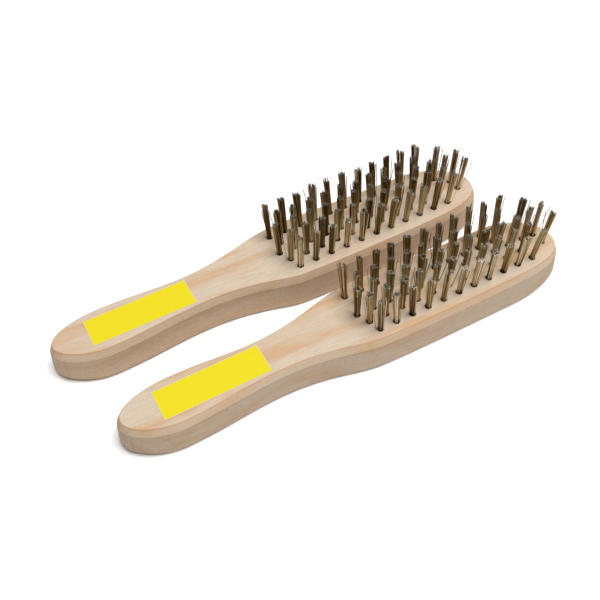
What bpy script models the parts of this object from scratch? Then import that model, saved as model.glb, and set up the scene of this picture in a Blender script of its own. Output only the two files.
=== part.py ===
"""A pair of wire scratch brushes with shaped wooden handles, lying bristles up.

Each brush is one wooden block that is handle and head in one, a blank paper label on the handle,
and five staggered rows of wire tufts set in blind bores.  A row is three groups of tufts, and each
group is held by one flat anchor strip in a slot deep in the wood.

Metres, +Z up.  The origin is the bottom centre of the pair's bounding box; +X runs from the
handles to the tips, and +Y from the front brush to the rear one.
"""
import bpy
import bmesh
from mathutils import Matrix, Vector
from mathutils.geometry import interpolate_bezier

MM = 0.001
OBJECT_NAME = "wire_scratch_brushes"

# Block: the outline of the top face, a chamfer below it, and walls that flare out to the foot
THICKNESS = 24.0 * MM
CHAMFER_OUT = 2.2 * MM
CHAMFER_Z = 18.8 * MM
FOOT_ROUND = 2.4 * MM
FOOT_FLARES = ((-146.0, 4.5), (-110.0, 3.2), (-60.0, 3.6), (-15.0, 4.3), (85.0, 4.3), (115.0, 5.3))
OUTLINE_RESOLUTION = 6
REAR_TIP_LONGER = 2.0 * MM
REAR_CHEEK_WIDER = 0.8 * MM

# Label
LABEL_LENGTH = 63.0 * MM
LABEL_WIDTH = 19.2 * MM
LABEL_THICKNESS = 0.2 * MM
LABEL_GAP = 0.1 * MM
LABEL_X = -90.4 * MM
LABEL_Y = 0.9 * MM

# Tufts: rows are numbered from the near edge; x is measured from the middle of the brush
TUFT_PITCH = 11.0 * MM
ROW_PITCH = 7.4 * MM
ROW_STARTS = (7.3 * MM, 4.8 * MM, 1.0 * MM, 5.8 * MM, 1.7 * MM)
ROW_COUNTS = (11, 12, 13, 11, 11)
ROW_LAST_GAPS = (11.0 * MM, 16.3 * MM, 8.2 * MM, 17.4 * MM, 11.0 * MM)
ROWS_MIDDLE_Y = 1.1 * MM
WIRE_LENGTH_OUT = 28.2 * MM
TUFT_FOOT_RADIUS = 1.65 * MM
TUFT_TIP_RADIUS = 2.1 * MM
TUFT_SIDES = 8
BORE_RADIUS = 2.15 * MM
BORE_DEPTH = 12.0 * MM
FAN_SIDE = 5.8
ROW_LEANS = {
    "front": (-0.11, -0.085, -0.07, -0.065, -0.06),
    "rear": (-0.07, -0.07, -0.07, -0.07, -0.07),
}
START_LEANS = {"front": (0.1, 0.05, 0.0, 0.0, 0.0), "rear": (0.0, 0.0, 0.0, 0.0, 0.0)}
START_LEAN_REACH = 60.0 * MM
TIP_LEAN_START_X = 100.0 * MM
TIP_LEAN_RATE = 2.0
SECTIONS = ("handle", "middle", "tip")

# Anchor strips and the slots they lie in
CLEARANCE = 0.3 * MM
STRIP_WIDTH = 1.6 * MM
STRIP_HEIGHT = 1.2 * MM

# The rear brush, measured in the front brush's frame
REAR_SHIFT = (-16.4 * MM, 63.3 * MM)
REAR_TURN = 0.0083

WOOD_COLOUR = (0.72, 0.55, 0.40, 1.0)
WIRE_COLOUR = (0.32, 0.25, 0.14, 1.0)
LABEL_COLOUR = (0.93, 0.78, 0.03, 1.0)

FOOT_Z = THICKNESS - BORE_DEPTH + CLEARANCE
STRIP_Z = FOOT_Z + CLEARANCE


def clear_scene():
    for item in list(bpy.data.objects):
        bpy.data.objects.remove(item, do_unlink=True)


def make_collection(name):
    collection = bpy.data.collections.new(name)
    bpy.context.scene.collection.children.link(collection)
    return collection


def make_material(name, colour, roughness, metallic):
    material = bpy.data.materials.new(name)
    material.use_nodes = True
    shader = material.node_tree.nodes["Principled BSDF"]
    shader.inputs["Base Color"].default_value = colour
    shader.inputs["Roughness"].default_value = roughness
    shader.inputs["Metallic"].default_value = metallic
    return material


def make_object(name, mesh, collection, parent):
    item = bpy.data.objects.new(name, mesh)
    collection.objects.link(item)
    item.parent = parent
    return item


def finish_bmesh(shape, name):
    mesh = bpy.data.meshes.new(name)
    bmesh.ops.recalc_face_normals(shape, faces=shape.faces)
    shape.to_mesh(mesh)
    shape.free()
    return mesh


def hide_cutter(item):
    item.hide_render = True
    item.display_type = "WIRE"


def add_boolean(item, cutter, operation):
    cut = item.modifiers.new(cutter.name, "BOOLEAN")
    cut.operation = operation
    cut.solver = "EXACT"
    cut.object = cutter
    hide_cutter(cutter)


# ---------------------------------------------------------------- the wooden block

def outline_points(side):
    """Knots of the top face's closed outline: x, y and the handle vectors before and after.

    They run from the handle end along the near side (-Y) to the tip, and back along the far side.
    """
    longer = REAR_TIP_LONGER if side == "rear" else 0.0
    wider = REAR_CHEEK_WIDER if side == "rear" else 0.0
    near = [
        (-112.0 * MM, -13.4 * MM, 14.0, 20.0, 0.0),
        (-55.0 * MM, -10.3 * MM, 20.0, 14.0, 0.0),
        (-16.0 * MM, -15.2 * MM, 12.0, 7.0, -0.25),
        (5.0 * MM, -19.5 * MM - wider, 7.0, 14.0, -0.08),
        (92.0 * MM, -21.0 * MM - wider, 30.0, 34.0, 0.0),
    ]
    far = [
        (102.0 * MM, 21.0 * MM + wider, 24.0, 30.0, 0.0),
        (10.0 * MM, 23.8 * MM, 30.0, 11.0, 0.0),
        (-21.0 * MM, 18.5 * MM, 8.0, 12.0, 0.26),
        (-60.0 * MM, 12.8 * MM, 14.0, 20.0, 0.0),
        (-110.0 * MM, 15.3 * MM, 22.0, 17.0, 0.0),
    ]
    knots = [(-142.2 * MM, 2.5 * MM, (0.0, 8.0 * MM), (0.0, -8.5 * MM))]
    for x, y, before, after, slope in near:
        back = (-before * MM, -before * slope * MM)
        knots.append((x, y, back, (after * MM, after * slope * MM)))
    knots.append((140.0 * MM + longer, -2.5 * MM, (0.0, -15.5 * MM), (0.0, 10.0 * MM)))
    for x, y, before, after, slope in far:
        back = (before * MM, before * slope * MM)
        knots.append((x, y, back, (-after * MM, -after * slope * MM)))
    return knots


def outline_ring(side):
    """The outline as points in order, each with its outward direction."""
    knots = outline_points(side)
    ring = []
    for (x, y, _, ahead), (end_x, end_y, back, _) in zip(knots, knots[1:] + knots[:1]):
        curve = interpolate_bezier(
            Vector((x, y)), Vector((x + ahead[0], y + ahead[1])),
            Vector((end_x + back[0], end_y + back[1])), Vector((end_x, end_y)),
            OUTLINE_RESOLUTION + 1)
        ring += curve[:-1]
    pairs = []
    for index, point in enumerate(ring):
        along = ring[(index + 1) % len(ring)] - ring[index - 1]
        pairs.append((point, Vector((along.y, -along.x)).normalized()))
    return pairs


def foot_flare(x):
    """How far the foot of the wall stands out from the top's outline, at a place on the length."""
    stations = [(place * MM, flare * MM) for place, flare in FOOT_FLARES]
    if x <= stations[0][0]:
        return stations[0][1]
    for (low, first), (high, second) in zip(stations, stations[1:]):
        if x <= high:
            return first + (second - first) * (x - low) / (high - low)
    return stations[-1][1]


def make_block(side, bores, slots, material, collection, parent):
    shape = bmesh.new()
    ring = outline_ring(side)
    layers = []
    for level in range(4):
        layer = []
        for point, outward in ring:
            flare = foot_flare(point.x)
            z, out = (
                (0.0, flare - FOOT_ROUND),
                (FOOT_ROUND, flare),
                (CHAMFER_Z, CHAMFER_OUT),
                (THICKNESS, 0.0),
            )[level]
            place = point + outward * out
            layer.append(shape.verts.new((place.x, place.y, z)))
        layers.append(layer)
    for lower, upper in zip(layers, layers[1:]):
        for i in range(len(lower)):
            j = (i + 1) % len(lower)
            shape.faces.new((lower[i], lower[j], upper[j], upper[i]))
    shape.faces.new(list(reversed(layers[0])))
    shape.faces.new(layers[-1])
    name = side + "_block"
    block = make_object(name, finish_bmesh(shape, name), collection, parent)
    block.data.materials.append(material)
    block.data.shade_smooth()
    block.data.set_sharp_from_angle(angle=0.3)
    add_boolean(block, bores, "DIFFERENCE")
    add_boolean(block, slots, "DIFFERENCE")
    return block


# ---------------------------------------------------------------- tufts and their bores

def row_positions(row):
    """The x of each tuft of a row; the last one stands apart, where the tip is rounded."""
    count = ROW_COUNTS[row]
    places = [ROW_STARTS[row] + TUFT_PITCH * i for i in range(count - 1)]
    places.append(places[-1] + ROW_LAST_GAPS[row])
    return places


def row_y(row):
    return ROWS_MIDDLE_Y + (row - 2) * ROW_PITCH


def tuft_axis(side, row, x):
    """The direction a tuft leans in: rows fan out sideways, and the tip tufts lean forward.

    The first tufts of the front brush's near rows are pushed inwards a little.
    """
    forward = ROW_LEANS[side][row] + TIP_LEAN_RATE * max(x - TIP_LEAN_START_X, 0.0)
    pushed = START_LEANS[side][row] * max(1.0 - x / START_LEAN_REACH, 0.0)
    return Vector((forward, FAN_SIDE * (row - 2) * ROW_PITCH + pushed, 1.0))


def split_row(places):
    """Split a row into three groups, the earlier ones taking the spare tufts."""
    base, spare = divmod(len(places), len(SECTIONS))
    groups = []
    start = 0
    for index in range(len(SECTIONS)):
        size = base + (1 if index < spare else 0)
        groups.append(places[start:start + size])
        start += size
    return groups


def add_post(shape, side, row, x, low_z, high_z, low_radius, high_radius):
    """A round post along a tuft's axis, through its point on the wood's top face."""
    axis = tuft_axis(side, row, x)
    face = Vector((x, row_y(row), THICKNESS))
    low = face + axis * (low_z - THICKNESS)
    high = face + axis * (high_z - THICKNESS)
    turn = Vector((0, 0, 1)).rotation_difference(axis).to_matrix().to_4x4()
    place = Matrix.Translation((low + high) / 2) @ turn
    bmesh.ops.create_cone(shape, cap_ends=True, segments=TUFT_SIDES, radius1=low_radius,
                          radius2=high_radius, depth=(high - low).length, matrix=place)


def add_bar(shape, side, row, places, low_z, width, height, extra):
    """A flat bar under the tufts at places, running past the first and last one by extra."""
    sink = THICKNESS - low_z
    first, last = (
        Vector((x, row_y(row), THICKNESS)) - tuft_axis(side, row, x) * sink
        for x in (places[0], places[-1]))
    length = last.x - first.x + 2 * extra
    scale = Matrix.Diagonal((length, width, height, 1.0))
    middle = (first + last) / 2
    place = Matrix.Translation((middle.x, middle.y, low_z + height / 2))
    bmesh.ops.create_cube(shape, size=1.0, matrix=place @ scale)


def make_tuft_group(side, row, section, places, material, collection, cutters, parent):
    name = f"{side}_row_{row + 1}_{section}"
    strip = bmesh.new()
    add_bar(strip, side, row, places, STRIP_Z, STRIP_WIDTH, STRIP_HEIGHT, 0.0)
    group = make_object(name, finish_bmesh(strip, name), collection, parent)
    group.data.materials.append(material)
    posts = bmesh.new()
    for x in places:
        add_post(posts, side, row, x, FOOT_Z, THICKNESS + WIRE_LENGTH_OUT, TUFT_FOOT_RADIUS,
                 TUFT_TIP_RADIUS)
    post_mesh = finish_bmesh(posts, name + "_posts")
    post_mesh.materials.append(material)
    post_item = make_object(name + "_posts", post_mesh, cutters, parent)
    add_boolean(group, post_item, "UNION")
    return group


def make_bores(side, cutters, parent):
    shape = bmesh.new()
    for row in range(len(ROW_COUNTS)):
        for x in row_positions(row):
            add_post(shape, side, row, x, THICKNESS - BORE_DEPTH, THICKNESS + 2 * MM,
                     BORE_RADIUS, BORE_RADIUS)
    name = side + "_bores"
    return make_object(name, finish_bmesh(shape, name), cutters, parent)


def make_slots(side, cutters, parent):
    shape = bmesh.new()
    width = STRIP_WIDTH + 2 * CLEARANCE
    height = STRIP_HEIGHT + 2 * CLEARANCE
    for row in range(len(ROW_COUNTS)):
        for places in split_row(row_positions(row)):
            add_bar(shape, side, row, places, FOOT_Z, width, height, CLEARANCE)
    name = side + "_slots"
    return make_object(name, finish_bmesh(shape, name), cutters, parent)


# ---------------------------------------------------------------- label and brush

def make_label(name, material, collection, parent):
    shape = bmesh.new()
    centre_z = THICKNESS + LABEL_GAP + LABEL_THICKNESS / 2
    scale = Matrix.Diagonal((LABEL_LENGTH, LABEL_WIDTH, LABEL_THICKNESS, 1.0))
    bmesh.ops.create_cube(shape, size=1.0, matrix=scale)
    label = make_object(name, finish_bmesh(shape, name), collection, parent)
    label.location = (LABEL_X, LABEL_Y, centre_z)
    label.data.materials.append(material)
    return label


def make_brush(side, parts, cutters):
    root = bpy.data.objects.new(side + "_brush", None)
    parts.objects.link(root)
    bores = make_bores(side, cutters, root)
    slots = make_slots(side, cutters, root)
    wood = make_material(side + "_wood", WOOD_COLOUR, 0.65, 0.0)
    make_block(side, bores, slots, wood, parts, root)
    paper = make_material(side + "_paper", LABEL_COLOUR, 0.5, 0.0)
    make_label(side + "_label", paper, parts, root)
    for row in range(len(ROW_COUNTS)):
        groups = split_row(row_positions(row))
        for section, places in zip(SECTIONS, groups):
            name = f"{side}_row_{row + 1}_{section}_wire"
            wire = make_material(name, WIRE_COLOUR, 0.4, 0.9)
            make_tuft_group(side, row, section, places, wire, parts, cutters, root)
    return root


def centre_pair(roots, parts):
    """Shift both brushes so that the pair's box is centred on the origin."""
    bpy.context.view_layer.update()
    depsgraph = bpy.context.evaluated_depsgraph_get()
    corners = []
    for item in parts.objects:
        if item.type == "MESH":
            evaluated = item.evaluated_get(depsgraph)
            corners += [item.matrix_world @ Vector(corner) for corner in evaluated.bound_box]
    middle_x = (min(c.x for c in corners) + max(c.x for c in corners)) / 2
    middle_y = (min(c.y for c in corners) + max(c.y for c in corners)) / 2
    for root in roots:
        root.location.x -= middle_x
        root.location.y -= middle_y


def main():
    clear_scene()
    parts = make_collection(OBJECT_NAME)
    cutters = make_collection("cutters")
    front = make_brush("front", parts, cutters)
    rear = make_brush("rear", parts, cutters)
    rear.location = (REAR_SHIFT[0], REAR_SHIFT[1], 0.0)
    rear.rotation_euler.z = REAR_TURN
    centre_pair((front, rear), parts)


main()
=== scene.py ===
"""The looks of a pair of wooden wire scratch brushes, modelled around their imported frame.

Run as a script it loads the frame, adds the wooden blocks, the blank paper labels, every single
wire and the stage, and leaves the finished pieces riding on the frame's bodies.
"""
import math
import random

import bpy
from mathutils import Matrix, Vector


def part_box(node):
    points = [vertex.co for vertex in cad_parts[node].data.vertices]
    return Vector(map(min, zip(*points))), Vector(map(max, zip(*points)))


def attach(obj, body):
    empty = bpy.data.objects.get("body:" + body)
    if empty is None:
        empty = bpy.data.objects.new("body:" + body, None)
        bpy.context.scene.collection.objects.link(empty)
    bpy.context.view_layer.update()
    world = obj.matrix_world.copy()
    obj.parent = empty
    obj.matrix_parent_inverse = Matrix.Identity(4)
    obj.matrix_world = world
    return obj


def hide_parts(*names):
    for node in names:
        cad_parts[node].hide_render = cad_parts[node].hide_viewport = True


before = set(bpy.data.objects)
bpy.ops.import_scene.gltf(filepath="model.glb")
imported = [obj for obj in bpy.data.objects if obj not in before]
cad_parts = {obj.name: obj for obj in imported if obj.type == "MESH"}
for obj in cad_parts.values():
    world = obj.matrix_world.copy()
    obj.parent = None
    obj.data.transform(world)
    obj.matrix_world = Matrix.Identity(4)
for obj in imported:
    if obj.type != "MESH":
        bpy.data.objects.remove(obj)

bl_info = {
    "name": "Wire scratch brushes",
    "version": (1, 0, 0),
    "blender": (4, 5, 0),
    "location": "3D Viewport > Sidebar > Brushes",
    "description": "Models a pair of wooden wire scratch brushes around a fixed frame",
    "category": "Object",
}

MM = 0.001
SIDES = ("front", "rear")
SECTIONS = ("handle", "middle", "tip")
TURNS = {"front": 0.0, "rear": 0.0083}

# The block: a chamfer runs round its top, and the walls below flare out to the foot
CHAMFER_OUT = 2.2 * MM
CHAMFER_Z = 18.8 * MM
FOOT_FLARES = ((-146.0, 4.5), (-110.0, 3.2), (-60.0, 3.6), (-15.0, 4.3), (85.0, 4.3), (115.0, 4.8))
REAR_TIP_LONGER = 2.0 * MM
REAR_CHEEK_WIDER = 0.8 * MM
HANDLE_END_ROUND = (-140.0 * MM, -120.0 * MM)
TIP_END_ROUND = (105.0 * MM, 130.0 * MM)
END_FOOT_EXTRA = 1.2
WALL_RINGS = (9.0 * MM, 13.0 * MM, 16.5 * MM, CHAMFER_Z - 0.2 * MM, CHAMFER_Z + 0.15 * MM,
              20.5 * MM, 22.2 * MM)
FOOT_RINGS = 8
ARRIS_RINGS = 4

# Where each board's pith lies under the brush, how its grain runs, and the painted shade on its
# walls
PITHS = {"front": (9.0, -46.0), "rear": (-16.0, -38.0)}
GRAIN_SLOPES = {"front": 0.045, "rear": 0.06}
WALL_SHADE_COLOURS = {"front": "AD9781", "rear": "BC9D7E"}

LABEL_PLACE = Vector((-90.4 * MM, 0.9 * MM, 0.0))

# The tufts, row by row from the near edge
TUFT_PITCH = 11.0 * MM
ROW_PITCH = 7.4 * MM
ROW_STARTS = (7.3 * MM, 4.8 * MM, 1.0 * MM, 5.8 * MM, 1.7 * MM)
ROW_COUNTS = (11, 12, 13, 11, 11)
ROW_LAST_GAPS = (11.0 * MM, 16.3 * MM, 8.2 * MM, 17.4 * MM, 11.0 * MM)
ROWS_MIDDLE_Y = 1.1 * MM
FAN_SIDE = 5.8
ROW_LEANS = {
    "front": (-0.11, -0.085, -0.07, -0.065, -0.06),
    "rear": (-0.07, -0.07, -0.07, -0.07, -0.07),
}
START_LEANS = {"front": (0.1, 0.05, 0.0, 0.0, 0.0), "rear": (0.0, 0.0, 0.0, 0.0, 0.0)}
START_LEAN_REACH = 60.0 * MM
TIP_LEAN_START_X = 100.0 * MM
TIP_LEAN_RATE = 2.0

# How the wires of a tuft lie: how deep they start, how high they may end, and where strays differ
WIRE_SINK = 9.5 * MM
WIRE_LIMIT = 28.2 * MM
STRAY_SPLIT_X = 55.0 * MM
STRAY_TURN_X = (40.0 * MM, 90.0 * MM)
# painted reflection: a lighter tone per row, most on the near row, which reflects the white floor
ROW_REFLECTION_TONES = (0.04, 0.02, 0.0, 0.0, 0.03)
GOLDEN_ANGLE = 2.39996

# The camera's direction from the front brush, its distance, and the light
CAMERA_AZIMUTH = -0.509
CAMERA_ELEVATION = 0.9058
CAMERA_DISTANCE = 456.3 * MM
CAMERA_AIM = Vector((-13.2 * MM, 42.9 * MM, 0.0))
LIGHT_PLACE = (0.36, -0.42, 2.6)
LIGHT_SIZE = 1.8
LIGHT_POWER = 84.0
SKY_STRENGTH = 0.2
FLOOR_SIZE = 6.0


# ---------------------------------------------------------------- settings

class BlockSettings(bpy.types.PropertyGroup):
    colour: bpy.props.StringProperty(
        name="Beech colour", description="sRGB hex colour of the pale wood between the streaks",
        default="CCBBA6")
    arris: bpy.props.FloatProperty(
        name="Arris radius", description="Rounding of the edge round the top face",
        default=0.5 * MM, unit="LENGTH", precision=4)
    foot_radius: bpy.props.FloatProperty(
        name="Foot radius", description="Rounding of the edge round the underside",
        default=3.0 * MM, unit="LENGTH", precision=4)
    bore_radius: bpy.props.FloatProperty(
        name="Bore radius", description="Radius of the bores that hold the tufts",
        default=2.1 * MM, unit="LENGTH", precision=4)
    bore_depth: bpy.props.FloatProperty(
        name="Bore depth", description="Depth of the bores below the top face",
        default=11.5 * MM, unit="LENGTH", precision=4)


class LabelSettings(bpy.types.PropertyGroup):
    colour: bpy.props.StringProperty(
        name="Ink colour", description="sRGB hex colour of the label's print", default="E0CF22")
    length: bpy.props.FloatProperty(
        name="Length", description="Length of the label along the handle",
        default=63.0 * MM, unit="LENGTH", precision=4)
    width: bpy.props.FloatProperty(
        name="Width", description="Width of the label across the handle",
        default=19.2 * MM, unit="LENGTH", precision=4)
    thickness: bpy.props.FloatProperty(
        name="Thickness", description="Thickness of the coated paper",
        default=0.14 * MM, unit="LENGTH", precision=5)


class WireSettings(bpy.types.PropertyGroup):
    count: bpy.props.IntProperty(
        name="Wires in a tuft", description="Wire ends that stand out of each bore",
        default=38, min=8, max=80)
    radius: bpy.props.FloatProperty(
        name="Wire radius", description="Radius of one drawn wire",
        default=0.215 * MM, unit="LENGTH", precision=5)
    foot_spread: bpy.props.FloatProperty(
        name="Spread in the bore", description="Radius of the bundle at its foot",
        default=1.45 * MM, unit="LENGTH", precision=5)
    tip_spread: bpy.props.FloatProperty(
        name="Spread at the tips", description="Radius of the bundle at its tips",
        default=1.8 * MM, unit="LENGTH", precision=5)
    reach: bpy.props.FloatProperty(
        name="Free length", description="Wire that stands out above the wood",
        default=28.0 * MM, unit="LENGTH", precision=4)


class StageSettings(bpy.types.PropertyGroup):
    floor_colour: bpy.props.StringProperty(
        name="Floor colour", description="sRGB hex colour of the floor", default="FAFAFA")
    lens: bpy.props.FloatProperty(
        name="Lens", description="Focal length of the camera", default=43.84, unit="CAMERA")


# ---------------------------------------------------------------- shared helpers

def rgba(code, alpha=1.0):
    """An sRGB hex colour as the linear RGBA that shaders take."""
    linear = []
    for start in (0, 2, 4):
        value = int(code[start:start + 2], 16) / 255
        linear.append(value / 12.92 if value <= 0.04045 else ((value + 0.055) / 1.055) ** 2.4)
    return (*linear, alpha)


def node(tree, kind, inputs=None, **settings):
    """Add one shader node; each input gets a value, or a link from an output socket."""
    made = tree.nodes.new(kind)
    for name, value in settings.items():
        setattr(made, name, value)
    for key, value in (inputs or {}).items():
        if isinstance(value, bpy.types.NodeSocket):
            tree.links.new(value, made.inputs[key])
        else:
            made.inputs[key].default_value = value
    return made


def remap(tree, value, low, high, to_low=0.0, to_high=1.0):
    """Carry a value from one range into another, clamped at both ends."""
    return node(tree, "ShaderNodeMapRange", {
        "Value": value, "From Min": low, "From Max": high, "To Min": to_low,
        "To Max": to_high}).outputs["Result"]


def mixed(tree, factor, first, second):
    return node(tree, "ShaderNodeMix", {0: factor, 6: first, 7: second},
                data_type="RGBA").outputs[2]


def combined(tree, operation, first, second=0.0):
    return node(tree, "ShaderNodeMath", {0: first, 1: second}, operation=operation).outputs[0]


def scaled_noise(tree, place, scale, detail, roughness=0.5, distortion=0.0):
    """Noise with its own scale along each axis, in features a millimetre."""
    spread = node(tree, "ShaderNodeMapping", {"Vector": place, "Scale": scale}).outputs["Vector"]
    return node(tree, "ShaderNodeTexNoise", {
        "Vector": spread, "Scale": 1.0, "Detail": detail, "Roughness": roughness,
        "Distortion": distortion}).outputs["Fac"]


def new_material(name):
    material = bpy.data.materials.new(name)
    material.use_nodes = True
    return material, material.node_tree, material.node_tree.nodes["Principled BSDF"]


def deselect():
    if bpy.context.object and bpy.context.object.mode != "OBJECT":
        bpy.ops.object.mode_set(mode="OBJECT")
    bpy.ops.object.select_all(action="DESELECT")


def name_active(name):
    item = bpy.context.object
    item.name = name
    item.data.name = name
    return item


def apply_modifiers(item):
    deselect()
    item.select_set(True)
    bpy.context.view_layer.objects.active = item
    for modifier in list(item.modifiers):
        bpy.ops.object.modifier_apply(modifier=modifier.name)


def apply_place(item):
    deselect()
    item.select_set(True)
    bpy.context.view_layer.objects.active = item
    bpy.ops.object.transform_apply(location=True, rotation=True, scale=True)


def brush_matrix(side):
    """The place of a brush: its own origin is under the middle of the shaped block."""
    low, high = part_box(side + "_label")
    turn = Matrix.Rotation(TURNS[side], 4, "Z")
    centre = (low + high) / 2
    centre.z = 0.0
    return Matrix.Translation(centre - turn @ LABEL_PLACE) @ turn


def top_z():
    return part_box("front_block")[1].z


def share(low, high, value):
    t = min(max((value - low) / (high - low), 0.0), 1.0)
    return t * t * (3 - 2 * t)


# ---------------------------------------------------------------- where the tufts stand

def row_positions(row):
    places = [ROW_STARTS[row] + TUFT_PITCH * i for i in range(ROW_COUNTS[row] - 1)]
    places.append(places[-1] + ROW_LAST_GAPS[row])
    return places


def row_y(row):
    return ROWS_MIDDLE_Y + (row - 2) * ROW_PITCH


def tuft_axis(side, row, x):
    """The direction a tuft leans in: rows fan out sideways, and the tip tufts lean forward."""
    forward = ROW_LEANS[side][row] + TIP_LEAN_RATE * max(x - TIP_LEAN_START_X, 0.0)
    pushed = START_LEANS[side][row] * max(1.0 - x / START_LEAN_REACH, 0.0)
    return Vector((forward, FAN_SIDE * (row - 2) * ROW_PITCH + pushed, 1.0))


def split_row(places):
    base, spare = divmod(len(places), len(SECTIONS))
    groups = []
    start = 0
    for index in range(len(SECTIONS)):
        size = base + (1 if index < spare else 0)
        groups.append(places[start:start + size])
        start += size
    return groups


# ---------------------------------------------------------------- materials

def beech_planed(name, colour, shift, slope, wall_shade_colour):
    """Beech, planed and left bare, with its arris burnished by handling.

    Pale straw with wide soft orange streaks where the growth rings run out, fine fibre streaks
    along the length, dark pores on the end grain, an orange line on the arris, and bores that are
    darker inside, from their end grain and from painted shade. The walls carry painted shade, the
    chamfer its own warmer tone and painted light, and the crease under it a painted shadow line.
    """
    material, tree, shader = new_material(name)
    place = node(tree, "ShaderNodeTexCoord").outputs["Object"]
    faces = node(tree, "ShaderNodeSeparateXYZ", {
        "Vector": node(tree, "ShaderNodeTexCoord").outputs["Normal"]})
    spot = node(tree, "ShaderNodeSeparateXYZ", {"Vector": place})
    height = spot.outputs["Z"]
    grain = node(tree, "ShaderNodeMapping", {
        "Vector": place, "Location": shift, "Rotation": (0.0, slope * 0.6, slope),
        "Scale": (1000.0, 1000.0, 1000.0)}).outputs["Vector"]
    # growth rings about 7 mm apart, drawn out into long arches where the board cuts them
    drawn = node(tree, "ShaderNodeMapping", {
        "Vector": grain, "Scale": (0.11, 1.0, 0.55)}).outputs["Vector"]
    rings = node(tree, "ShaderNodeTexWave", {
        "Vector": drawn, "Scale": 0.045, "Distortion": 5.0, "Detail": 2.0, "Detail Scale": 0.8,
        "Detail Roughness": 0.5}, wave_type="RINGS", rings_direction="X").outputs["Fac"]
    clouds = scaled_noise(tree, grain, (0.018, 0.13, 0.13), 2.0, 0.55, 0.8)
    arches = combined(tree, "MULTIPLY", remap(tree, rings, 0.35, 1.0), remap(
        tree, clouds, 0.35, 0.62))
    streak = combined(tree, "MAXIMUM", arches, remap(tree, clouds, 0.56, 0.78))
    board = mixed(tree, remap(tree, streak, 0.0, 0.9), rgba(colour), rgba("C8A684"))
    # painted shade: the end grain and the walls are painted greyer and darker than the planed top,
    # for the lesser light they get
    walls = remap(tree, faces.outputs["Z"], 0.5, 0.2)
    wall_shaded = mixed(tree, combined(tree, "MULTIPLY", walls, 0.55), board, rgba(wall_shade_colour))
    # fibres 0.4 mm wide and some 12 mm long
    fibre = scaled_noise(tree, grain, (0.08, 2.4, 2.4), 3.0, 0.6)
    streaked = mixed(tree, combined(
        tree, "MULTIPLY", remap(tree, fibre, 0.46, 0.72), combined(
            tree, "ADD", combined(tree, "MULTIPLY", walls, 0.25), 0.3)), wall_shaded, rgba("9C7F62"))
    # ray flecks 1 to 3 mm long
    ray = scaled_noise(tree, grain, (0.45, 3.0, 2.6), 1.0)
    flecks = remap(tree, ray, 0.64, 0.76, 0.0, 0.4)
    flecked = mixed(tree, flecks, streaked, rgba("92704E"))
    # the ends show the rings as dark upright lines 3 mm apart
    ends = remap(tree, combined(tree, "ABSOLUTE", faces.outputs["X"]), 0.55, 0.85)
    upright = scaled_noise(tree, grain, (0.05, 0.9, 0.06), 1.0)
    lines = combined(tree, "MULTIPLY", ends, remap(tree, upright, 0.5, 0.64, 0.0, 0.6))
    ended = mixed(tree, lines, flecked, rgba("8E7458"))
    # the chamfer is painted warmer and lighter: part its own warmer tone, part painted light where
    # its slope catches more light
    chamfer_tone_and_light = combined(tree, "MULTIPLY", remap(tree, height, 18.7 * MM, 19.1 * MM), remap(
        tree, height, 24.0 * MM, 23.9 * MM))
    chamfer_lit = mixed(tree, combined(tree, "MULTIPLY", chamfer_tone_and_light, 0.25), ended, rgba("CFAE88"))
    # below the chamfer a thin dark line: painted shade in the crease, patchy along its length
    crease_shade = combined(tree, "MULTIPLY", remap(tree, height, 18.1 * MM, 18.6 * MM), remap(
        tree, height, 18.9 * MM, 18.6 * MM))
    patchy = remap(tree, clouds, 0.3, 0.7, 0.25, 0.6)
    crease_shaded = mixed(tree, combined(tree, "MULTIPLY", crease_shade, patchy), chamfer_lit, rgba("9A7F63"))
    # handling has burnished the arris orange
    burnish = combined(tree, "MULTIPLY", remap(tree, height, 22.9 * MM, 23.5 * MM), remap(
        tree, height, 23.99 * MM, 23.85 * MM))
    worn = mixed(tree, combined(tree, "MULTIPLY", burnish, remap(
        tree, clouds, 0.3, 0.6, 0.35, 0.75)), crease_shaded, rgba("BE9065"))
    # painted shade: the bores are painted darker inside, part their drilled end grain and part the
    # shade in the recess
    bore_grain_and_shade = node(tree, "ShaderNodeAttribute", attribute_name="bore_grain_and_shade").outputs["Fac"]
    finished = mixed(tree, bore_grain_and_shade, worn, rgba("6E5338"))
    tree.links.new(finished, shader.inputs["Base Color"])
    bump = node(tree, "ShaderNodeBump", {
        "Strength": 0.2, "Distance": 0.1 * MM, "Height": combined(
            tree, "SUBTRACT", fibre, flecks)})
    tree.links.new(bump.outputs["Normal"], shader.inputs["Normal"])
    shader.inputs["Roughness"].default_value = 0.6
    shader.inputs["Specular IOR Level"].default_value = 0.15
    return material


def coated_paper(name, colour, length, width):
    """Label paper with a coated face: an even printed yellow that stops at a pale bare margin."""
    material, tree, shader = new_material(name)
    map_of = node(tree, "ShaderNodeUVMap", uv_map="UVMap").outputs["UV"]
    split = node(tree, "ShaderNodeSeparateXYZ", {"Vector": map_of})
    insets = []
    for axis, size in (("X", length), ("Y", width)):
        centred = combined(tree, "SUBTRACT", split.outputs[axis], 0.5)
        away = combined(tree, "ABSOLUTE", centred)
        insets.append(remap(tree, away, 0.5, 0.0, 0.0, size / 2 / MM))
    nearest = combined(tree, "MINIMUM", *insets)
    # the pale margin is 0.25 mm wide
    margin = remap(tree, nearest, 0.35, 0.15)
    mottle = node(tree, "ShaderNodeTexNoise", {
        "Vector": map_of, "Scale": 30.0, "Detail": 4.0}).outputs["Fac"]
    ink = mixed(tree, mottle, rgba(colour), rgba("DBCA1A"))
    tree.links.new(mixed(tree, margin, ink, rgba("C4BCC4")), shader.inputs["Base Color"])
    bump = node(tree, "ShaderNodeBump", {
        "Strength": 0.08, "Distance": 0.05 * MM, "Height": mottle})
    tree.links.new(bump.outputs["Normal"], shader.inputs["Normal"])
    shader.inputs["Roughness"].default_value = 0.5
    shader.inputs["Specular IOR Level"].default_value = 0.12
    return material


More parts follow.
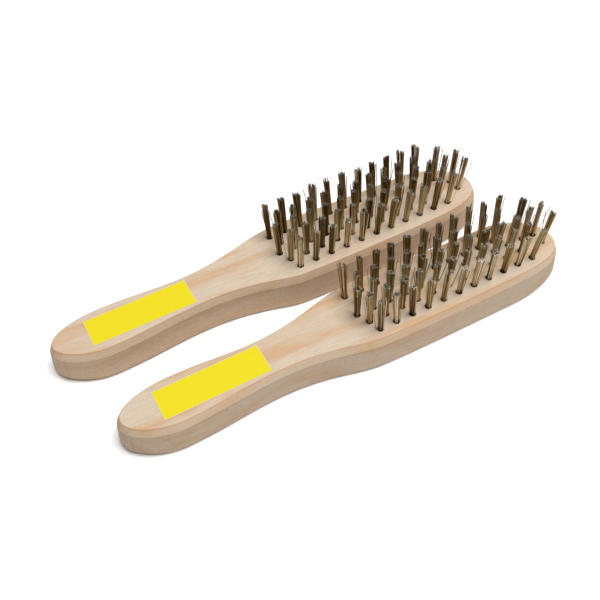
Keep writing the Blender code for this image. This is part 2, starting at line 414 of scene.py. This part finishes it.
def brassed_wire(name):
    """Steel wire drawn through a die and coated with brass.

    The coat is a dull gold that differs from wire to wire, its tones spread from near black to
    near
    white: part the wires' own tone, part painted shade in the gaps and painted highlight. It is
    painted browner towards the tips, a painted reflection of the darker surroundings, and each cut
    end shows a speck of bare steel.
    """
    material, tree, shader = new_material(name)
    tone = node(tree, "ShaderNodeAttribute", attribute_name="wire_tone").outputs["Fac"]
    height = node(tree, "ShaderNodeAttribute", attribute_name="wire_height").outputs["Fac"]
    # painted shade and highlight: the tone runs from near black to near white, part each wire's
    # own tone and part painted shade between the wires and painted highlight on them
    coat_shade_and_sheen = node(tree, "ShaderNodeValToRGB", {"Fac": tone})
    coat_shade_and_sheen.color_ramp.elements[0].color = rgba("4A3A20")
    coat_shade_and_sheen.color_ramp.elements[1].color = rgba("F0EAD8")
    for place, code in ((0.3, "9A7F4A"), (0.65, "CDB883")):
        coat_shade_and_sheen.color_ramp.elements.new(place).color = rgba(code)
    # painted reflection: the tips are painted browner, for the darker surroundings they reflect
    tip_reflection_tint = mixed(tree, remap(tree, height, 0.35, 0.95, 0.0, 0.35), coat_shade_and_sheen.outputs["Color"],
                    rgba("A38D5E"))
    cut = remap(tree, height, 0.996, 0.9995)
    tree.links.new(mixed(tree, cut, tip_reflection_tint, rgba("B9B4A8")), shader.inputs["Base Color"])
    shader.inputs["Metallic"].default_value = 1.0
    shader.inputs["Roughness"].default_value = 0.4
    return material


# ---------------------------------------------------------------- the wooden blocks

def outline_points(side):
    """The outline of the top: knots with the handle vectors before and after each of them.

    They run from the handle end along the near side to the tip, and back along the far side.
    """
    longer = REAR_TIP_LONGER if side == "rear" else 0.0
    wider = REAR_CHEEK_WIDER if side == "rear" else 0.0
    near = [
        (-112.0 * MM, -13.4 * MM, 14.0, 20.0, 0.0),
        (-55.0 * MM, -10.3 * MM, 20.0, 14.0, 0.0),
        (-16.0 * MM, -15.2 * MM, 12.0, 7.0, -0.25),
        (5.0 * MM, -19.5 * MM - wider, 7.0, 14.0, -0.08),
        (92.0 * MM, -21.0 * MM - wider, 30.0, 34.0, 0.0),
    ]
    far = [
        (102.0 * MM, 21.0 * MM + wider, 24.0, 30.0, 0.0),
        (10.0 * MM, 23.8 * MM, 30.0, 11.0, 0.0),
        (-21.0 * MM, 18.5 * MM, 8.0, 12.0, 0.26),
        (-60.0 * MM, 12.8 * MM, 14.0, 20.0, 0.0),
        (-110.0 * MM, 15.3 * MM, 22.0, 17.0, 0.0),
    ]
    knots = [(-142.2 * MM, 2.5 * MM, (0.0, 8.0 * MM), (0.0, -8.5 * MM))]
    for way, places in ((1, near), (-1, far)):
        for x, y, before, after, slope in places:
            back = (-before * way * MM, -before * way * slope * MM)
            ahead = (after * way * MM, after * way * slope * MM)
            knots.append((x, y, back, ahead))
        if way == 1:
            knots.append((140.0 * MM + longer, -2.5 * MM, (0.0, -15.5 * MM), (0.0, 10.0 * MM)))
    return knots


def draw_outline(name, side):
    """A closed Bezier circle whose twelve points are moved onto the outline."""
    deselect()
    bpy.ops.curve.primitive_bezier_circle_add(radius=0.1)
    item = name_active(name)
    bpy.ops.object.mode_set(mode="EDIT")
    bpy.ops.curve.select_all(action="SELECT")
    bpy.ops.curve.subdivide(number_cuts=2)
    bpy.ops.object.mode_set(mode="OBJECT")
    item.data.dimensions = "2D"
    item.data.fill_mode = "NONE"
    item.data.resolution_u = 20
    knots = item.data.splines[0].bezier_points
    for knot, (x, y, back, ahead) in zip(knots, outline_points(side)):
        knot.handle_left_type = "FREE"
        knot.handle_right_type = "FREE"
        knot.co = (x, y, 0.0)
        knot.handle_left = (x + back[0], y + back[1], 0.0)
        knot.handle_right = (x + ahead[0], y + ahead[1], 0.0)
    bpy.ops.object.convert(target="MESH")
    return bpy.context.object


def foot_flare(x):
    """How far the foot of the wall stands out from the top's outline, at a place on the length."""
    stations = [(place * MM, flare * MM) for place, flare in FOOT_FLARES]
    if x <= stations[0][0]:
        return stations[0][1]
    for (low, first), (high, second) in zip(stations, stations[1:]):
        if x <= high:
            return first + (second - first) * (x - low) / (high - low)
    return stations[-1][1]


def wall_heights(settings, height):
    """The heights up the wall at which the block has a ring of points."""
    foot = 2.3 * settings.foot_radius
    quarter = math.pi / 2
    rounding = [foot * (1 - math.cos(quarter * i / (FOOT_RINGS - 1))) for i in range(FOOT_RINGS)]
    arris = [settings.arris * (1 - math.sin(quarter * i / ARRIS_RINGS))
             for i in range(ARRIS_RINGS + 1)]
    return rounding + list(WALL_RINGS) + [height - below for below in arris]


def wall_offset(settings, height, x, z):
    """How far the wall stands out from the outline of the top, at a height."""
    if z > CHAMFER_Z:
        out = CHAMFER_OUT * (height - z) / (height - CHAMFER_Z)
    else:
        down = (CHAMFER_Z - z) / CHAMFER_Z
        out = CHAMFER_OUT + (foot_flare(x) - CHAMFER_OUT) * down
    ends = share(*TIP_END_ROUND, x) + 1 - share(*HANDLE_END_ROUND, x)
    foot = settings.foot_radius * (1 + END_FOOT_EXTRA * ends)
    if z < foot:
        out -= foot - math.sqrt(foot ** 2 - (foot - z) ** 2)
    above = z - (height - settings.arris)
    if above > 0:
        out -= settings.arris - math.sqrt(max(settings.arris ** 2 - above ** 2, 0.0))
    return out


def outward_normals(mesh):
    """The horizontal outward direction at each point of a closed outline, by point index."""
    links = {vertex.index: [] for vertex in mesh.vertices}
    for edge in mesh.edges:
        a, b = edge.vertices
        links[a].append(b)
        links[b].append(a)
    normals = {}
    for index, (a, b) in links.items():
        along = mesh.vertices[b].co - mesh.vertices[a].co
        normal = Vector((along.y, -along.x, 0.0)).normalized()
        probe = mesh.vertices[index].co + normal * MM
        if inside_outline(probe, mesh):
            normal.negate()
        normals[index] = normal
    return normals


def inside_outline(point, mesh):
    crossings = 0
    for edge in mesh.edges:
        a, b = (mesh.vertices[i].co for i in edge.vertices)
        if (a.y > point.y) != (b.y > point.y):
            if point.x < a.x + (point.y - a.y) / (b.y - a.y) * (b.x - a.x):
                crossings += 1
    return crossings % 2 == 1


def shape_block(side, settings):
    """The block before it is bored: the outline raised in steps, each moved out to the wall."""
    item = draw_outline(side + "_wood", side)
    mesh = item.data
    normals = outward_normals(mesh)
    outline = {(round(v.co.x, 7), round(v.co.y, 7)): normals[v.index] for v in mesh.vertices}
    height = top_z()
    steps = wall_heights(settings, height)
    bpy.ops.object.mode_set(mode="EDIT")
    bpy.ops.mesh.select_all(action="SELECT")
    bpy.ops.mesh.edge_face_add()
    for low, high in zip(steps, steps[1:]):
        bpy.ops.mesh.extrude_region_move(
            TRANSFORM_OT_translate={"value": (0.0, 0.0, high - low)})
    bpy.ops.object.mode_set(mode="OBJECT")
    for vertex in mesh.vertices:
        co = vertex.co
        normal = outline[(round(co.x, 7), round(co.y, 7))]
        vertex.co = co + normal * wall_offset(settings, height, co.x, co.z)
    bpy.ops.object.mode_set(mode="EDIT")
    bpy.ops.mesh.select_all(action="SELECT")
    bpy.ops.mesh.normals_make_consistent(inside=False)
    bpy.ops.object.mode_set(mode="OBJECT")
    return item


def bore_axes(side):
    """Each bore's point on the top face and its direction."""
    axes = []
    height = top_z()
    for row in range(len(ROW_COUNTS)):
        for x in row_positions(row):
            axes.append((Vector((x, row_y(row), height)), tuft_axis(side, row, x)))
    return axes


def bore_tools(side, settings):
    """One solid of all the drills, each a cylinder that leans as its tuft does."""
    deselect()
    drills = []
    for face, axis in bore_axes(side):
        low = face - axis * settings.bore_depth
        high = face + axis * 2 * MM
        turn = Vector((0, 0, 1)).rotation_difference(axis).to_euler()
        bpy.ops.mesh.primitive_cylinder_add(
            vertices=20, radius=settings.bore_radius, depth=(high - low).length,
            location=(low + high) / 2, rotation=turn)
        drills.append(bpy.context.object)
    for drill in drills:
        drill.select_set(True)
    bpy.context.view_layer.objects.active = drills[0]
    bpy.ops.object.join()
    return name_active("drills")


def mark_bores(block, side, settings):
    """Write on every face whether it lies inside a bore."""
    axes = bore_axes(side)
    height = top_z()
    reach = (settings.bore_radius * 1.1) ** 2
    marks = []
    for face in block.data.polygons:
        inside = 0.0
        depth = height - face.center.z
        if 0.01 * MM < depth < settings.bore_depth + MM:
            for start, axis in axes:
                middle = start - axis * depth
                if (face.center - middle).length_squared < reach:
                    inside = 1.0
        marks.append(inside)
    block.data.attributes.new("bore_grain_and_shade", "FLOAT", "FACE").data.foreach_set("value", marks)


def make_block(side, settings):
    block = shape_block(side, settings)
    drills = bore_tools(side, settings)
    cut = block.modifiers.new("bores", "BOOLEAN")
    cut.operation = "DIFFERENCE"
    cut.solver = "EXACT"
    cut.object = drills
    apply_modifiers(block)
    bpy.data.objects.remove(drills, do_unlink=True)
    mark_bores(block, side, settings)
    block.matrix_world = brush_matrix(side)
    apply_place(block)
    bpy.ops.object.shade_smooth_by_angle(angle=math.radians(40))
    weighted = block.modifiers.new("even shading", "WEIGHTED_NORMAL")
    weighted.keep_sharp = True
    apply_modifiers(block)
    origin = brush_matrix(side).translation / MM
    pith_y, pith_z = PITHS[side]
    shift = (-origin.x, -origin.y - pith_y, -pith_z)
    wood = beech_planed(side + "_beech_planed", settings.colour, shift, GRAIN_SLOPES[side],
                        WALL_SHADE_COLOURS[side])
    block.data.materials.clear()
    block.data.materials.append(wood)
    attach(block, side + "_brush")
    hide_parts(side + "_block")


class BRUSH_OT_blocks(bpy.types.Operator):
    """Add the two shaped and bored wooden blocks"""
    bl_idname = "brush.blocks"
    bl_label = "Wooden blocks"

    def execute(self, context):
        for side in SIDES:
            make_block(side, context.scene.brush_block)
        return {"FINISHED"}


# ---------------------------------------------------------------- the labels

def make_label(side, settings):
    deselect()
    bpy.ops.mesh.primitive_plane_add(size=1.0)
    label = name_active(side + "_paper_label")
    label.scale = (settings.length, settings.width, 1.0)
    apply_place(label)
    bpy.ops.object.mode_set(mode="EDIT")
    bpy.ops.mesh.select_all(action="SELECT")
    bpy.ops.mesh.bevel(affect="VERTICES", offset=0.5 * MM, segments=3)
    bpy.ops.object.mode_set(mode="OBJECT")
    solid = label.modifiers.new("paper", "SOLIDIFY")
    solid.thickness = settings.thickness
    solid.offset = 1.0
    apply_modifiers(label)
    label.matrix_world = brush_matrix(side) @ Matrix.Translation(
        LABEL_PLACE + Vector((0.0, 0.0, top_z() + 0.02 * MM)))
    apply_place(label)
    label.data.materials.append(
        coated_paper(side + "_coated_paper", settings.colour, settings.length, settings.width))
    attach(label, side + "_brush")
    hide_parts(side + "_label")


class BRUSH_OT_labels(bpy.types.Operator):
    """Add the blank yellow label on each handle"""
    bl_idname = "brush.labels"
    bl_label = "Paper labels"

    def execute(self, context):
        for side in SIDES:
            make_label(side, context.scene.brush_label)
        return {"FINISHED"}


# ---------------------------------------------------------------- the wires

def wire_template(rings):
    """The corners and faces of one five-sided wire, as long as 1 and with a radius of 1."""
    deselect()
    bpy.ops.mesh.primitive_cylinder_add(vertices=5, radius=1.0, depth=1.0, location=(0, 0, 0.5))
    item = bpy.context.object
    apply_place(item)
    for i in range(1, rings):
        bpy.ops.object.mode_set(mode="EDIT")
        bpy.ops.mesh.select_all(action="SELECT")
        bpy.ops.mesh.bisect(plane_co=(0, 0, i / rings), plane_no=(0, 0, 1))
        bpy.ops.object.mode_set(mode="OBJECT")
    corners = [tuple(vertex.co) for vertex in item.data.vertices]
    faces = [tuple(face.vertices) for face in item.data.polygons]
    bpy.data.objects.remove(item, do_unlink=True)
    return corners, faces


def bezier(points, t):
    a, b, c, d = points
    u = 1 - t
    place = a * u ** 3 + b * (3 * u * u * t) + c * (3 * u * t * t) + d * t ** 3
    along = (b - a) * (3 * u * u) + (c - b) * (6 * u * t) + (d - c) * (3 * t * t)
    return place, along.normalized()


class Bundle:
    """Collects the copies of the wire template that make one piece."""

    def __init__(self, radius):
        self.radius = radius
        self.corners = []
        self.faces = []
        self.tones = []
        self.heights = []

    def add(self, template, points, tone):
        corners, faces = template
        first = len(self.corners)
        frames = {}
        for x, y, h in corners:
            key = round(h, 3)
            if key not in frames:
                place, along = bezier(points, h)
                across = along.cross(Vector((0.3, 1.0, 0.0))).normalized()
                frames[key] = (place, across, along.cross(across))
            place, across, other = frames[key]
            self.corners.append(place + (across * x + other * y) * self.radius)
            self.tones.append(tone)
            self.heights.append(h)
        self.faces.extend(tuple(first + i for i in face) for face in faces)

    def build(self, name, matrix):
        mesh = bpy.data.meshes.new(name)
        mesh.from_pydata([matrix @ corner for corner in self.corners], [], self.faces)
        for attribute, values in (("wire_tone", self.tones), ("wire_height", self.heights)):
            mesh.attributes.new(attribute, "FLOAT", "POINT").data.foreach_set("value", values)
        item = bpy.data.objects.new(name, mesh)
        bpy.context.scene.collection.objects.link(item)
        deselect()
        item.select_set(True)
        bpy.context.view_layer.objects.active = item
        bpy.ops.object.shade_smooth_by_angle(angle=math.radians(50))
        return item


def clump_shifts(draw):
    """The clumps a tuft falls into: the side each is on, its shift at the tips, tone and rise."""
    clumps = []
    count = draw.choice((3, 3, 4))
    start = draw.uniform(0.0, 2 * math.pi)
    for i in range(count):
        angle = start + 2 * math.pi * i / count
        side = Vector((math.cos(angle), math.sin(angle), 0.0))
        tip = side * draw.uniform(0.0, 0.5) * MM
        tip += Vector((draw.gauss(0.0, 0.35), draw.gauss(0.0, 0.35), 0.0)) * MM
        clumps.append((side, tip, draw.uniform(-0.38, 0.34), draw.uniform(-1.3, 0.2) * MM))
    return clumps


def tuft_wires(bundle, template, side, row, x, settings, draw):
    """Stand the wires of one tuft: a round bundle that falls into clumps, with a few strays."""
    axis = tuft_axis(side, row, x)
    axis.x += draw.gauss(0.0, 0.018)
    axis.y += draw.gauss(0.0, 0.014)
    face = Vector((x, row_y(row), top_z()))
    clumps = clump_shifts(draw)
    height = settings.reach - abs(draw.gauss(0.0, 0.7)) * MM
    limit = face.z + WIRE_LIMIT
    strays = draw.choice((2, 3, 4) if x > STRAY_SPLIT_X else (1, 2, 3, 4))
    for i in range(settings.count):
        ring = math.sqrt((i + 0.5) / settings.count)
        angle = i * GOLDEN_ANGLE + draw.uniform(-0.25, 0.25)
        out = Vector((math.cos(angle), math.sin(angle), 0.0))
        _, clump_tip, clump_tone, clump_rise = max(clumps, key=lambda found: found[0].dot(out))
        foot = face - axis * WIRE_SINK + out * ring * settings.foot_spread
        reach = height + clump_rise - abs(draw.gauss(0.0, 0.55)) * MM
        tip = face + axis * reach + out * ring * settings.tip_spread + clump_tip
        tip += Vector((draw.gauss(0.0, 0.22), draw.gauss(0.0, 0.22), 0.0)) * MM
        if i >= settings.count - strays:
            ahead = 1 if draw.random() < 0.45 + 0.5 * share(*STRAY_TURN_X, x) else -1
            away = Vector((ahead, draw.uniform(-0.6, 0.5), 0.0))
            far = draw.uniform(2.0, 5.0) if draw.random() < 0.3 else draw.uniform(0.8, 2.2)
            tip += away * far * MM
            tip.z -= draw.uniform(0.0, 2.5) * MM
        tip.z = min(tip.z, limit)
        bow = Vector((draw.gauss(0.0, 0.16), draw.gauss(0.0, 0.16), 0.0)) * MM
        points = (foot, foot.lerp(tip, 0.33) + bow, foot.lerp(tip, 0.67) + bow, tip)
        # each wire's tone: random, part its own tone and part painted shade and highlight streaks
        # across the tuft
        tone = 0.46 + clump_tone + ROW_REFLECTION_TONES[row] + draw.gauss(0.0, 0.3)
        bundle.add(template, points, min(max(tone, 0.0), 1.0))


class BRUSH_OT_wires(bpy.types.Operator):
    """Add every wire of every tuft, one piece for each group of tufts in a row"""
    bl_idname = "brush.wires"
    bl_label = "Wire tufts"

    def execute(self, context):
        settings = context.scene.brush_wire
        template = wire_template(3)
        for number, side in enumerate(SIDES):
            coat_shade_and_sheen = brassed_wire(side + "_brassed_wire")
            for row in range(len(ROW_COUNTS)):
                groups = split_row(row_positions(row))
                for section, places in zip(SECTIONS, groups):
                    node_name = f"{side}_row_{row + 1}_{section}"
                    bundle = Bundle(settings.radius)
                    for x in places:
                        draw = random.Random(f"{number} {row} {x:.4f}")
                        tuft_wires(bundle, template, side, row, x, settings, draw)
                    item = bundle.build("wires_" + node_name, brush_matrix(side))
                    item.data.materials.append(coat_shade_and_sheen)
                    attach(item, side + "_brush")
                    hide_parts(node_name)
        return {"FINISHED"}


# ---------------------------------------------------------------- the stage

def add_light(name, place, target, size, power):
    deselect()
    bpy.ops.object.light_add(type="AREA", location=place)
    light = name_active(name)
    light.data.shape = "DISK"
    light.data.size = size
    light.data.energy = power
    light.rotation_euler = (Vector(target) - Vector(place)).to_track_quat("-Z", "Y").to_euler()


class BRUSH_OT_stage(bpy.types.Operator):
    """Add the pale floor, the soft studio light and the camera"""
    bl_idname = "brush.stage"
    bl_label = "Stage"

    def execute(self, context):
        settings = context.scene.brush_stage
        deselect()
        bpy.ops.mesh.primitive_plane_add(size=FLOOR_SIZE, location=(0.0, 0.0, -0.05 * MM))
        floor = name_active("floor")
        material, tree, shader = new_material("matt_white_board")
        shader.inputs["Base Color"].default_value = rgba(settings.floor_colour)
        shader.inputs["Roughness"].default_value = 0.9
        shader.inputs["Specular IOR Level"].default_value = 0.0
        floor.data.materials.append(material)
        world = bpy.data.worlds.new("studio")
        world.use_nodes = True
        world.node_tree.nodes["Background"].inputs["Color"].default_value = (1.0, 1.0, 1.0, 1.0)
        world.node_tree.nodes["Background"].inputs["Strength"].default_value = SKY_STRENGTH
        context.scene.world = world
        add_light("overhead", LIGHT_PLACE, (0.0, 0.0, 0.0), LIGHT_SIZE, LIGHT_POWER)
        context.scene.view_settings.view_transform = "Standard"
        aim = brush_matrix("front") @ CAMERA_AIM
        level = math.cos(CAMERA_ELEVATION)
        back = Vector((math.sin(CAMERA_AZIMUTH) * level, -math.cos(CAMERA_AZIMUTH) * level,
                       math.sin(CAMERA_ELEVATION)))
        bpy.ops.object.camera_add(location=aim + back * CAMERA_DISTANCE)
        camera = name_active("camera")
        camera.rotation_euler = (-back).to_track_quat("-Z", "Y").to_euler()
        camera.data.lens = settings.lens
        camera.data.sensor_width = 36.0
        camera.data.clip_start = 0.01
        context.scene.camera = camera
        return {"FINISHED"}


# ---------------------------------------------------------------- panel and registration

class BRUSH_PT_panel(bpy.types.Panel):
    """The sizes and the steps of the brushes"""
    bl_idname = "BRUSH_PT_panel"
    bl_label = "Wire scratch brushes"
    bl_space_type = "VIEW_3D"
    bl_region_type = "UI"
    bl_category = "Brushes"

    def draw(self, context):
        for group, step in STEPS:
            box = self.layout.box()
            settings = getattr(context.scene, group)
            for name in settings.bl_rna.properties.keys():
                if name not in ("rna_type", "name"):
                    box.prop(settings, name)
            box.operator(step)


STEPS = (
    ("brush_block", "brush.blocks"),
    ("brush_label", "brush.labels"),
    ("brush_wire", "brush.wires"),
    ("brush_stage", "brush.stage"),
)
GROUPS = {
    "brush_block": BlockSettings,
    "brush_label": LabelSettings,
    "brush_wire": WireSettings,
    "brush_stage": StageSettings,
}
CLASSES = (*GROUPS.values(), BRUSH_OT_blocks, BRUSH_OT_labels, BRUSH_OT_wires, BRUSH_OT_stage,
           BRUSH_PT_panel)


def register():
    for item in CLASSES:
        bpy.utils.register_class(item)
    for name, group in GROUPS.items():
        setattr(bpy.types.Scene, name, bpy.props.PointerProperty(type=group))


def unregister():
    for name in GROUPS:
        delattr(bpy.types.Scene, name)
    for item in reversed(CLASSES):
        bpy.utils.unregister_class(item)


def main():
    register()
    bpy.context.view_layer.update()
    bpy.ops.brush.blocks()
    bpy.ops.brush.labels()
    bpy.ops.brush.wires()
    bpy.ops.brush.stage()


if __name__ == "__main__":
    main()
